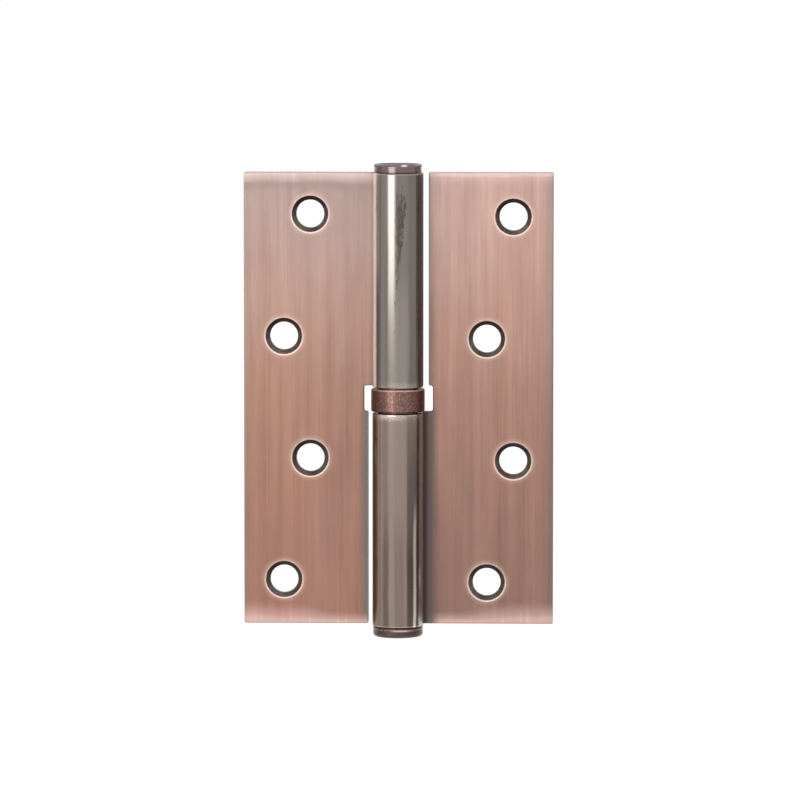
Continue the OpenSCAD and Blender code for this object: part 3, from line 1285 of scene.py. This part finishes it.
@dataclass(frozen=True)
class PinAndCaps:
    """The pin pressed into the lower knuckle and the plugs in the knuckles' ends.

    Attributes:
        half_height: from the hinge's middle to a knuckle's end.
        stack: half the gap between the knuckles.
        pressed: radius of the pin and the plugs where they are pressed in.
        running: radius of the pin where it turns.
        in_lower: the pin's length in the lower knuckle.
        in_upper: its length in the upper knuckle.
        tip: height of its tapered tip.
        tip_radius: radius of the tip's end.
        stem: a plug's length in the knuckle.
        chamfer: the cut at the pressed ends.
        top: radius, height and edge radius of the upper plug's head.
        bottom: those of the lower plug's head.
        steel: the pin's finish.
        upper_dark: the upper plug's finish.
        lower_dark: the lower plug's finish.
    """

    half_height: float = 60.0
    stack: float = 3.45
    pressed: float = 3.99
    running: float = 3.95
    in_lower: float = 46.0
    in_upper: float = 40.5
    tip: float = 1.6
    tip_radius: float = 3.07
    stem: float = 8.0
    chamfer: float = 0.5
    top: tuple[float, float, float] = (6.35, 2.4, 0.6)
    bottom: tuple[float, float, float] = (6.6, 2.8, 0.9)
    steel: TurnedFinish = TurnedFinish(
        "ground_steel", srgb(176, 173, 170), srgb(132, 127, 121), mottle=0.35, grain=3.0,
        rough=0.24, ring_marks=0.12)
    upper_dark: TurnedFinish = TurnedFinish(
        "dark_copper", srgb(105, 85, 85), srgb(142, 118, 114), mottle=0.35, grain=0.9,
        rough=0.22, ring_marks=0.1, seam=(60.55, 60.3), glint=(1.85, 62.12, 1.1, 1.0), lacquer=1.0,
        metal=Metal(coat_roughness=0.14))
    lower_dark: TurnedFinish = TurnedFinish(
        "darker_copper", srgb(87, 71, 68), srgb(140, 120, 112), mottle=0.3, grain=0.8,
        rough=0.24, ring_marks=0.1, edge=(-60.7, 0.2), seam=(-60.5, -60.3),
        glint=(1.2, -60.85, 3.4, 0.5))

    def pin(self) -> Surface:
        """The pin: a pressed length below, a running length above and a tapered tip.

        Returns:
            The pin's profile carried round its axis.
        """
        foot, head = -self.stack - self.in_lower, self.stack + self.in_upper
        return revolved(rounded([
            (0.0, foot, 0.0), (self.pressed - self.chamfer, foot, 0.1),
            (self.pressed, foot + self.chamfer, 0.1), (self.pressed, -self.stack, 0.01),
            (self.running, -self.stack, 0.01), (self.running, head - self.tip, 0.3),
            (self.tip_radius, head, 0.35), (0.0, head, 0.0)]), segments=96)

    def cap(self, head: tuple[float, float, float]) -> Surface:
        """A plug whose head seats at z = 0, with a rounded edge above and a stem below.

        Args:
            head: radius, height and edge radius of its head.

        Returns:
            The plug.
        """
        radius, height, edge = head
        return revolved(rounded([
            (0.0, -self.stem, 0.0), (self.pressed - self.chamfer, -self.stem, 0.1),
            (self.pressed, self.chamfer - self.stem, 0.1), (self.pressed, 0.0, 0.01),
            (radius, 0.0, 0.12), (radius, height, edge), (0.0, height, 0.0)], steps=8))

    def build(self) -> None:
        """Makes the pin and both caps and dresses them."""
        place_piece(self.pin().to_object("steel_pin"), "hinge_pin", Body.FRAME_SIDE,
                    self.steel.material())
        top = self.cap(self.top).moved(lambda p: p + np.array([0.0, 0.0, self.half_height]))
        place_piece(top.to_object("upper_cap"), "top_cap", Body.DOOR_SIDE,
                    self.upper_dark.material())
        bottom = self.cap(self.bottom).moved(
            lambda p: (p + np.array([0.0, 0.0, self.half_height])) * np.array([1.0, -1.0, -1.0]))
        place_piece(bottom.to_object("lower_cap"), "bottom_cap", Body.FRAME_SIDE,
                    self.lower_dark.material())


@dataclass(frozen=True)
class ThrustRing:
    """The caged ball bearing between the knuckles, inside its lipped shell.

    Attributes:
        shell_radius: the shell's outer radius.
        shell_half: half its height.
        wall: its thickness.
        lip: how far its lips reach inwards.
        bevel: the cut of its edges.
        hub: radius of a race's hub.
        bore: radius of its bore.
        disc_foot: from the middle to the near face of its disc.
        stack: from the middle to the hub's end.
        track: radius of the balls' track.
        groove: radius of the groove's section.
        groove_height: height of that section's centre.
        balls: number of balls.
        red: the shell's finish.
        race_steel: the races' finish, darkened as painted shade for the gaps beside the shell.
        brass: the cage's finish.
        ball_steel: the balls' finish.
    """

    shell_radius: float = 7.1
    shell_half: float = 3.0
    wall: float = 0.5
    lip: float = 1.0
    bevel: float = 0.25
    hub: float = 5.3
    bore: float = 4.03
    disc_foot: float = 0.6
    stack: float = 3.45
    track: float = 5.275
    groove: float = 0.848
    groove_height: float = -0.028
    balls: int = 12
    red: TurnedFinish = TurnedFinish(
        "red_copper", srgb(104, 73, 66), srgb(226, 190, 177), mottle=0.18, grain=0.42,
        rough=0.3, ring_marks=0.08, edge=(2.9, 0.3), seam=(-2.65, -2.85), front_highlight=(0.4, 5.4))
    # darkened as painted shade: the races show only in the shaded gaps beside the shell
    race_steel: TurnedFinish = TurnedFinish(
        "race_steel", srgb(96, 76, 70), srgb(62, 46, 42), mottle=0.4, grain=1.2,
        rough=0.22, ring_marks=0.15)
    brass: TurnedFinish = TurnedFinish(
        "cage_brass", srgb(196, 160, 92), srgb(150, 116, 66), mottle=0.4, grain=0.8,
        rough=0.3, ring_marks=0.1)
    ball_steel: TurnedFinish = TurnedFinish(
        "ball_steel", srgb(214, 214, 218), srgb(190, 190, 196), mottle=0.2, grain=0.5,
        rough=0.08, ring_marks=0.0)

    def shell(self) -> Surface:
        """The shell: a wall with bevelled edges and a lip at each end.

        Returns:
            The shell's profile carried round the pin's axis.
        """
        out, top, cut = self.shell_radius, self.shell_half, self.bevel
        inner, lip = out - self.wall, out - self.wall - self.lip
        under = top - self.wall
        return revolved(rounded([
            (lip, -top, 0.05), (out - cut, -top, 0.06), (out, cut - top, 0.1),
            (out, top - cut, 0.1), (out - cut, top, 0.06), (lip, top, 0.05), (lip, under, 0.05),
            (inner, under, 0.08), (inner, -under, 0.08), (lip, -under, 0.05)], steps=3,
            closed=True), segments=160)

    def race(self, disc: float, rim: float) -> Surface:
        """A race with its groove below.

        The groove is the arc of radius groove about (track, groove height), which the underside
        meets at track -+ sqrt(groove^2 - (disc foot - groove height)^2).

        Args:
            disc: outer radius of its disc.
            rim: height of the disc's upper face.

        Returns:
            The race above z = 0.
        """
        lift = self.disc_foot - self.groove_height
        open_angle = math.acos(lift / self.groove)
        turn = np.linspace(-open_angle, open_angle, 13)
        arc = np.stack([self.track + self.groove * np.sin(turn),
                        self.groove_height + self.groove * np.cos(turn)], axis=1)
        outer = rounded([
            (disc - 0.3, self.disc_foot, 0.0), (disc, self.disc_foot, 0.06), (disc, rim, 0.06),
            (self.hub, rim, 0.06), (self.hub, self.stack, 0.06), (self.bore, self.stack, 0.06),
            (self.bore, self.disc_foot, 0.06), (self.bore + 0.3, self.disc_foot, 0.0)], steps=3)
        return revolved(np.concatenate([outer, arc, outer[:1]]), segments=96)

    def build(self, nodes: Mapping[str, bpy.types.Object]) -> None:
        """Makes the shell and the races, and dresses them, the cage and the balls.

        Args:
            nodes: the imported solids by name.
        """
        place_piece(self.shell().to_object("ring_shell"), "bearing_shell", Body.FRAME_SIDE,
                    self.red.material())
        steel = self.race_steel.material()
        inner, under = self.shell_radius - self.wall, self.shell_half - self.wall
        place_piece(self.race(inner - 0.2, under - 0.2).to_object("race_above"), "upper_race",
                    Body.TURNING_RACE, steel)
        lower = self.race(inner - 0.01, under).moved(lambda p: p * np.array([1.0, -1.0, -1.0]))
        place_piece(lower.to_object("race_below"), "lower_race", Body.FRAME_SIDE,
                    steel)
        dressed = {"ball_cage": self.brass.material()}
        ball = self.ball_steel.material()
        dressed.update({f"bearing_ball_{i + 1}": ball for i in range(self.balls)})
        for name, material in dressed.items():
            nodes[name].data.materials.clear()
            nodes[name].data.materials.append(material)
        LOG.info("thrust ring: %d solids dressed", len(dressed))


# Studio


class Ray(enum.Enum):
    """Kinds of ray that see the backdrop as plain white."""

    CAMERA = "Is Camera Ray"
    GLOSSY = "Is Glossy Ray"
    TRANSMISSION = "Is Transmission Ray"


@dataclass(frozen=True)
class Softbox:
    """A rectangular lamp.

    Attributes:
        name: its name.
        spot: its place in metres.
        target: the point that it shines at.
        size: its width and height.
        radiance: its brightness.
    """

    name: str
    spot: tuple[float, float, float]
    target: tuple[float, float, float]
    size: tuple[float, float]
    radiance: float

    def build(self) -> None:
        """Adds the lamp, turned to its target.

        A rectangle of area A that shines with radiance L on one side gives the power pi * L * A.
        """
        lamp = bpy.data.lights.new(self.name, "AREA")
        lamp.shape, (lamp.size, lamp.size_y) = "RECTANGLE", self.size
        lamp.energy = math.pi * self.radiance * self.size[0] * self.size[1]
        holder = bpy.data.objects.new(self.name, lamp)
        bpy.context.scene.collection.objects.link(holder)
        back = unit(np.array(self.spot) - np.array(self.target))
        side = unit(np.cross([0.0, 0.0, 1.0], back))
        turn = np.eye(4)
        turn[:3, :4] = np.stack([side, np.cross(back, side), back, np.array(self.spot)], axis=1)
        holder.matrix_world = Matrix(turn.tolist())
        holder.visible_camera = False


@dataclass(frozen=True)
class Card:
    """A curved grey card about the pin's axis that only reflections show.

    Attributes:
        name: its name.
        first: azimuth of its one edge in degrees, from the front towards +X.
        last: azimuth of its other edge.
        distance: radius in metres.
        heights: its lower and upper edge in metres.
        grey: its radiance.
    """

    name: str
    first: float
    last: float
    distance: float
    heights: tuple[float, float]
    grey: float

    def build(self) -> None:
        """Makes the card: a surface of azimuth a and height z, at (r sin a, -r cos a, z)."""
        angle = np.radians(np.linspace(self.first, self.last, 25))[None, :]
        level = np.linspace(*self.heights, 5)[:, None] / MM
        radius = self.distance / MM
        points = np.stack(np.broadcast_arrays(
            radius * np.sin(angle), -radius * np.cos(angle), level), axis=-1)
        card = Surface.grid(points, points).to_object(self.name)
        material = bpy.data.materials.new(self.name)
        tree = Tree(material)
        glow = tree.node("ShaderNodeEmission", inputs={"Strength": self.grey})
        tree.node("ShaderNodeOutputMaterial", inputs={"Surface": glow.outputs[0]})
        card.data.materials.append(material)
        card.visible_camera = card.visible_diffuse = card.visible_shadow = False


@dataclass(frozen=True)
class Studio:
    """Camera, lamps, backdrop and floor, in metres and degrees.

    Attributes:
        elevation: the camera's height angle.
        azimuth: its turn from the front towards +X.
        distance: its distance from the aim.
        frame_width: width of view at the leaves' front plane.
        plane: that plane's distance behind the pin's axis.
        sensor: width of the camera's sensor in millimetres.
        aim: the point that it looks at.
        ambient: the surroundings' light on matt surfaces.
        floor_height: the floor's level.
        floor_radius: its radius.
        floor_glow: what makes it plain white for the rays that see the backdrop.
        lamps: the lamps.
        cards: the cards.
    """

    elevation: float = 4.9
    azimuth: float = 2.0
    distance: float = 1.6
    frame_width: float = 0.21255
    plane: float = 0.004
    sensor: float = 36.0
    aim: tuple[float, float, float] = (0.0004, 0.004, -0.0004)
    ambient: float = 0.7
    floor_height: float = -0.3
    floor_radius: float = 9.0
    floor_glow: float = 0.36
    lamps: tuple[Softbox, ...] = (
        Softbox("strip", (-0.49, -0.94, 0.065), (0.0, 0.0, 0.065), (0.57, 0.22), 4.2),
        Softbox("top_front", (-0.1, -1.2, 1.5), (0.0, 0.0, 0.0), (1.4, 0.8), 0.5),
    )
    cards: tuple[Card, ...] = (
        Card("dark_card_right", 42.0, 105.0, 1.1, (-0.2, -0.1), 0.3),
        Card("dark_card_left", -112.0, -82.0, 1.1, (-0.28, 0.3), 0.6),
        Card("dark_card_back", 115.0, 245.0, 1.1, (0.06, 0.32), 0.16),
        Card("dark_card_side", 92.0, 140.0, 1.1, (-0.08, 0.03), 0.25),
    )

    def shine(self, tree: Tree, extra: float) -> Value:
        """Tells the rays that see the backdrop from the others.

        Args:
            tree: the tree.
            extra: the number for those rays.

        Returns:
            That number, and 0 for the other rays.
        """
        path = tree.node("ShaderNodeLightPath")
        seen = [Value(tree, path.outputs[ray.value]) for ray in Ray]
        return seen[0].most(seen[1]).most(seen[2]) * extra

    def world(self) -> None:
        """Makes the even white surroundings."""
        world = bpy.data.worlds.new("studio")
        bpy.context.scene.world = world
        tree = Tree(world)
        strength = self.shine(tree, 1.0 - self.ambient) + self.ambient
        light = tree.node("ShaderNodeBackground", inputs={"Color": (1.0, 1.0, 1.0, 1.0),
                                                          "Strength": strength})
        tree.node("ShaderNodeOutputWorld", inputs={"Surface": light.outputs[0]})

    def floor(self) -> None:
        """Makes the floor: a disc as a surface of radius and angle."""
        radius = np.linspace(0, self.floor_radius / MM, 24)
        level = np.full_like(radius, self.floor_height / MM)
        disc = revolved(np.stack([radius, level], axis=1)[::-1], segments=96).to_object("floor")
        material = bpy.data.materials.new("pale_floor")
        tree = Tree(material)
        paper = tree.noise(tree.place()[0], scale=0.004, detail=3.0)
        colour = tree.mix(paper * 0.3, srgb(250, 250, 250), srgb(244, 244, 244))
        matt = tree.node("ShaderNodeBsdfDiffuse", inputs={"Color": colour})
        extra = self.shine(tree, self.floor_glow)
        glow = tree.node("ShaderNodeEmission", inputs={"Strength": extra})
        both = tree.node("ShaderNodeAddShader", inputs={0: matt.outputs[0], 1: glow.outputs[0]})
        tree.node("ShaderNodeOutputMaterial", inputs={"Surface": both.outputs[0]})
        disc.data.materials.append(material)

    def camera(self) -> None:
        """Places the camera in front of the hinge, a little above it.

        Its width of view at the leaves' front plane is the frame's width, so the lens is
        sensor * distance / width.
        """
        lens = bpy.data.cameras.new("camera")
        lens.sensor_width = self.sensor
        lens.lens = self.sensor * (self.distance + self.plane) / self.frame_width
        lens.clip_start, lens.clip_end = 0.05, 60.0
        holder = bpy.data.objects.new("camera", lens)
        bpy.context.scene.collection.objects.link(holder)
        tilt, turn = math.radians(self.elevation), math.radians(self.azimuth)
        back = np.array([math.sin(turn) * math.cos(tilt), -math.cos(turn) * math.cos(tilt),
                         math.sin(tilt)])
        holder.location = np.array(self.aim) + back * self.distance
        holder.rotation_euler = (math.pi / 2 - tilt, 0.0, turn)
        bpy.context.scene.camera = holder

    def build(self) -> None:
        """Sets the stage."""
        bpy.context.scene.view_settings.view_transform = "Standard"
        self.world()
        self.floor()
        self.camera()
        for lamp in self.lamps:
            lamp.build()
        for card in self.cards:
            card.build()
        LOG.info("studio: %d lamps, %d cards", len(self.lamps), len(self.cards))


def main() -> None:
    """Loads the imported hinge, dresses it and sets the stage."""
    logging.basicConfig(level=logging.INFO, format="%(name)s: %(message)s")
    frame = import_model()
    Leaves().build()
    PinAndCaps().build()
    ThrustRing().build(frame["nodes"])
    Studio().build()


if __name__ == "__main__":
    main()
